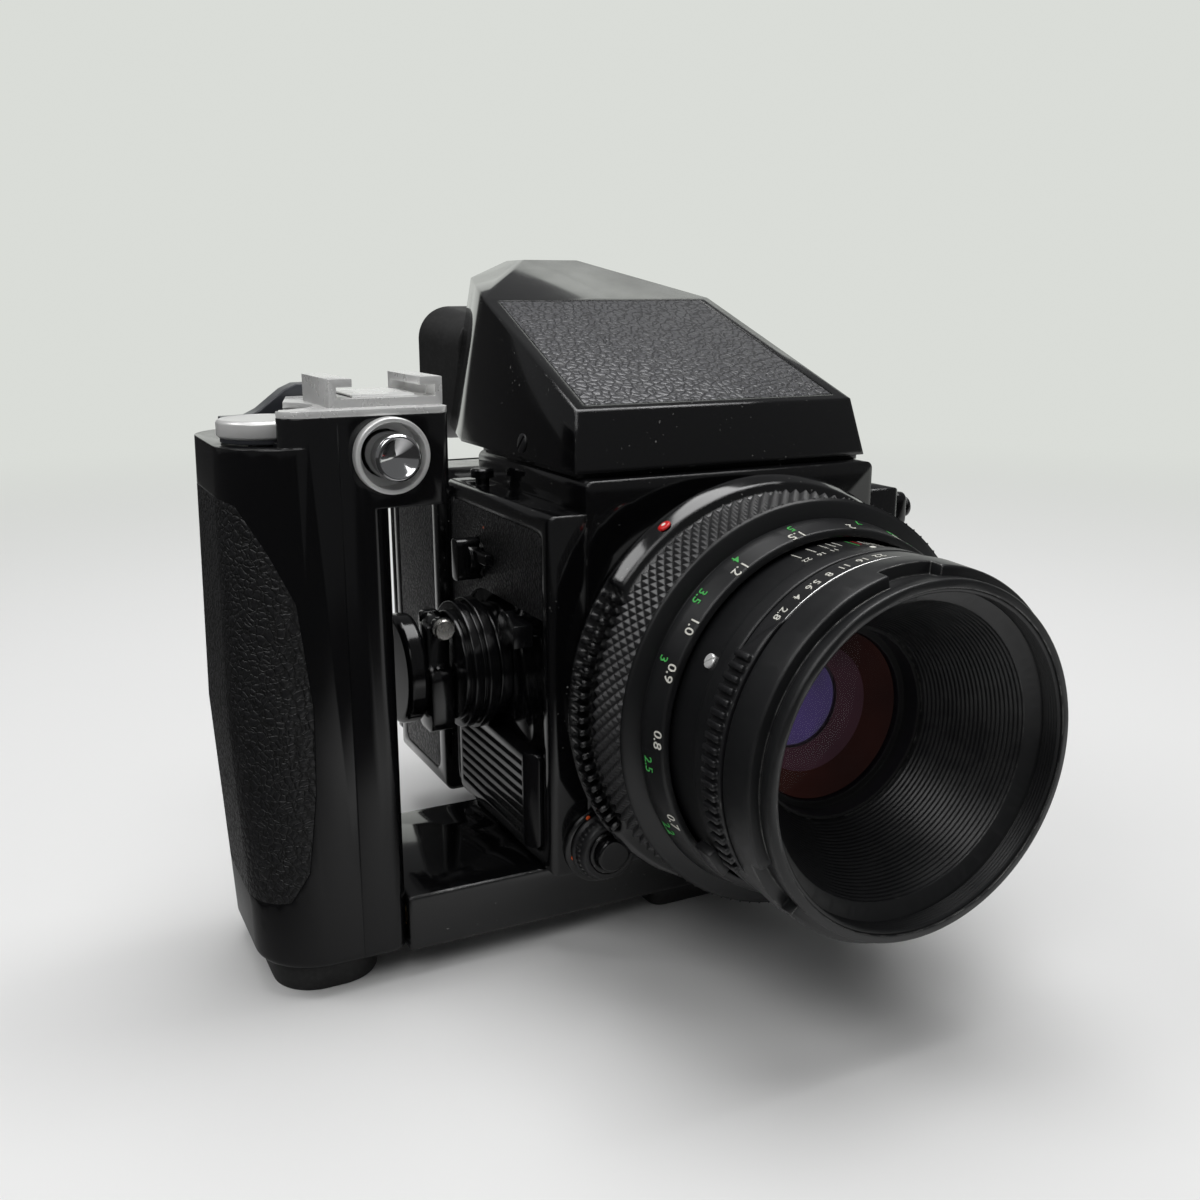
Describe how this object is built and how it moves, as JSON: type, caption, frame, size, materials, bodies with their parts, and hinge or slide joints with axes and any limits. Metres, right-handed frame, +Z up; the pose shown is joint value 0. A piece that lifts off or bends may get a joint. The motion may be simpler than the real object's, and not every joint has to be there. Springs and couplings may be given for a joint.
{
  "type": "medium format film camera",
  "caption": "Roll film camera with a prism finder, film back, leaf shutter lens, folding winding crank and a side grip that carries a release, a wind lever and an accessory shoe.",
  "frame": {"origin": "centre of the tripod socket's mouth, on the plane that the feet stand on", "axes": "+Z is up, -Y is the way the lens looks, and -X points to the side of the grip"},
  "size_m": [0.1519, 0.1866, 0.1433],
  "materials": {
    "enamel": "gloss black enamel with bright worn edges",
    "satin_black": "satin black anodised or painted metal",
    "lens_black": "semi-gloss black anodised aluminium",
    "inner_black": "dead black inner paint",
    "grey_leather": "grained black leatherette",
    "chrome": "polished chrome plate",
    "steel": "satin steel",
    "brass": "plain brass",
    "black_rubber": "matt black rubber",
    "black_plastic": "matt black plastic",
    "gloss_black_plastic": "gloss black plastic",
    "mirror_glass": "front-silvered mirror",
    "optical_glass": "coated optical glass",
    "ground_glass": "ground focusing glass",
    "battery_wrap": "plain battery can",
    "blade_steel": "blackened steel blades"
  },
  "bodies": {
    "camera": {"body_casting": "enamel", "front_boss": "enamel", "crank_side_cover": "enamel", "dial_side_cover": "enamel", "side_leather": "grey_leather", "ribbed_battery_cover": "gloss_black_plastic", "battery": "battery_wrap", "focusing_screen": "ground_glass", "strap_lug": "enamel", "crank_bezel": "satin_black", "sync_socket": "chrome", "finder_housing": "enamel", "finder_leather": "grey_leather", "finder_prism": "optical_glass", "eyepiece_lens": "optical_glass", "eyecup": "black_rubber", "film_back_shell": "enamel", "film_insert": "black_plastic", "pressure_plate": "steel", "door_hinge_pin": "steel", "lens_rear_ring": "lens_black", "grip_outer_shell": "gloss_black_plastic", "grip_inner_shell": "gloss_black_plastic", "grip_leather": "grey_leather", "grip_base": "enamel", "grip_feet": "black_rubber", "tripod_bush": "steel", "accessory_shoe": "steel"},
    "mirror": {"reflex_mirror": "mirror_glass"},
    "lock_collar": {"release_lock_collar": "satin_black"},
    "body_release": {"release_button": "gloss_black_plastic"},
    "finder_release": {"finder_release_button": "gloss_black_plastic"},
    "crank": {"crank_hub": "enamel", "crank_pin": "chrome"},
    "folding_handle": {"crank_handle": "enamel"},
    "finger_disc": {"crank_knob": "gloss_black_plastic"},
    "exposure_lever": {"multi_exposure_lever": "black_plastic"},
    "lockup_lever": {"mirror_lockup_lever": "enamel"},
    "speed_dial": {"shutter_speed_dial": "satin_black"},
    "sensitivity_dial": {"film_speed_dial": "satin_black"},
    "door": {"back_door": "enamel"},
    "supply": {"supply_spool": "black_plastic"},
    "takeup": {"takeup_spool": "black_plastic"},
    "slide": {"dark_slide": "steel"},
    "focusing": {"focus_ring": "lens_black", "focus_grip": "black_rubber"},
    "lens_front": {"lens_inner_barrel": "lens_black", "lens_front_barrel": "lens_black", "lens_cell": "inner_black", "lens_glasses": "optical_glass", "leaf_shutter": "blade_steel"},
    "aperture": {"aperture_ring": "lens_black"},
    "preview": {"depth_preview_switch": "satin_black"},
    "winder": {"wind_lever": "steel", "wind_shaft": "steel"},
    "idler": {"idler_gear": "brass"},
    "coupler": {"coupling_gear": "brass"},
    "grip_collar": {"grip_release_collar": "steel"},
    "grip_button": {"grip_release_button": "chrome"},
    "fixing_screw": {"mount_screw": "steel"}
  },
  "joints": [
    {"name": "mirror_lift", "type": "hinge", "parent": "camera", "child": "mirror", "pos_m": [0, 0.0255, 0.0825], "axis": [-1, 0, 0], "range_deg": [0, 45]},
    {"name": "lock_collar_turn", "type": "hinge", "parent": "camera", "child": "lock_collar", "pos_m": [-0.0318, -0.028, 0.0232], "axis": [0, 1, 0], "range_deg": [0, 60]},
    {"name": "body_release_press", "type": "slide", "parent": "camera", "child": "body_release", "axis": [0, 1, 0], "range_m": [0, 0.0018], "stiffness_N_per_m": 400},
    {"name": "finder_release_press", "type": "slide", "parent": "camera", "child": "finder_release", "axis": [0, 0, -1], "range_m": [0, 0.0018], "stiffness_N_per_m": 400},
    {"name": "crank_turn", "type": "hinge", "parent": "camera", "child": "crank", "pos_m": [-0.048, 0.0085, 0.0557], "axis": [-1, 0, 0], "continuous": true},
    {"name": "handle_fold", "type": "hinge", "parent": "crank", "child": "folding_handle", "pos_m": [-0.0549, 0.0085, 0.0655], "axis": [0, 1, 0], "range_deg": [0, 15]},
    {"name": "disc_spin", "type": "hinge", "parent": "folding_handle", "child": "finger_disc", "pos_m": [-0.059, 0.014, 0.0547], "axis": [-1, 0, 0], "continuous": true},
    {"name": "exposure_lever_turn", "type": "hinge", "parent": "camera", "child": "exposure_lever", "pos_m": [-0.044, 0.013, 0.078], "axis": [-1, 0, 0], "range_deg": [0, 40]},
    {"name": "lockup_lever_turn", "type": "hinge", "parent": "camera", "child": "lockup_lever", "pos_m": [-0.044, -0.0076, 0.067], "axis": [-1, 0, 0], "range_deg": [0, 40]},
    {"name": "speed_dial_turn", "type": "hinge", "parent": "camera", "child": "speed_dial", "pos_m": [0.045, 0.002, 0.078], "axis": [1, 0, 0], "range_deg": [-150, 150]},
    {"name": "sensitivity_dial_turn", "type": "hinge", "parent": "camera", "child": "sensitivity_dial", "pos_m": [0.046, 0.0515, 0.06], "axis": [1, 0, 0], "range_deg": [-150, 150]},
    {"name": "door_swing", "type": "hinge", "parent": "camera", "child": "door", "pos_m": [0, 0.0696, 0.0182], "axis": [-1, 0, 0], "range_deg": [0, 90]},
    {"name": "supply_spin", "type": "hinge", "parent": "camera", "child": "supply", "pos_m": [0, 0.053, 0.0335], "axis": [1, 0, 0], "continuous": true},
    {"name": "takeup_spin", "type": "hinge", "parent": "camera", "child": "takeup", "pos_m": [0, 0.053, 0.0765], "axis": [1, 0, 0], "continuous": true},
    {"name": "dark_slide_pull", "type": "slide", "parent": "camera", "child": "slide", "axis": [1, 0, 0], "range_m": [0, 0.07]},
    {"name": "focus_turn", "type": "hinge", "parent": "camera", "child": "focusing", "pos_m": [0, -0.048, 0.0565], "axis": [0, 1, 0], "range_deg": [-47, 129]},
    {"name": "focus_travel", "type": "slide", "parent": "camera", "child": "lens_front", "axis": [0, -1, 0], "range_m": [-0.0029, 0.0079]},
    {"name": "aperture_turn", "type": "hinge", "parent": "lens_front", "child": "aperture", "pos_m": [0, -0.0718, 0.0565], "axis": [0, 1, 0], "range_deg": [0, 54]},
    {"name": "preview_turn", "type": "hinge", "parent": "lens_front", "child": "preview", "pos_m": [0, -0.0653, 0.0565], "axis": [0, 1, 0], "range_deg": [0, 6]},
    {"name": "wind_turn", "type": "hinge", "parent": "camera", "child": "winder", "pos_m": [-0.0915, -0.006, 0.111], "axis": [0, 0, 1], "range_deg": [0, 130], "stiffness_Nm_per_rad": 0.02},
    {"name": "idler_turn", "type": "hinge", "parent": "camera", "child": "idler", "pos_m": [-0.06982, 0, 0.0124], "axis": [0, 0, 1], "range_deg": [-43, 0]},
    {"name": "coupler_turn", "type": "hinge", "parent": "camera", "child": "coupler", "pos_m": [-0.03782, 0, 0.0124], "axis": [0, 0, 1], "range_deg": [0, 48]},
    {"name": "grip_collar_turn", "type": "hinge", "parent": "camera", "child": "grip_collar", "pos_m": [-0.0722, -0.0208, 0.1063], "axis": [0, 1, 0], "range_deg": [0, 60]},
    {"name": "grip_button_press", "type": "slide", "parent": "camera", "child": "grip_button", "axis": [0, 1, 0], "range_m": [0, 0.0018], "stiffness_N_per_m": 400},
    {"name": "fixing_screw_turn", "type": "hinge", "parent": "camera", "child": "fixing_screw", "pos_m": [0, 0.0136, 0.005], "axis": [0, 0, 1], "continuous": true}
  ],
  "couplings": [
    {"joint": "focus_travel", "follows": "focus_turn", "m_per_rad": 0.0035},
    {"joint": "idler_turn", "follows": "wind_turn", "ratio": -0.32353},
    {"joint": "coupler_turn", "follows": "wind_turn", "ratio": 0.36667}
  ]
}
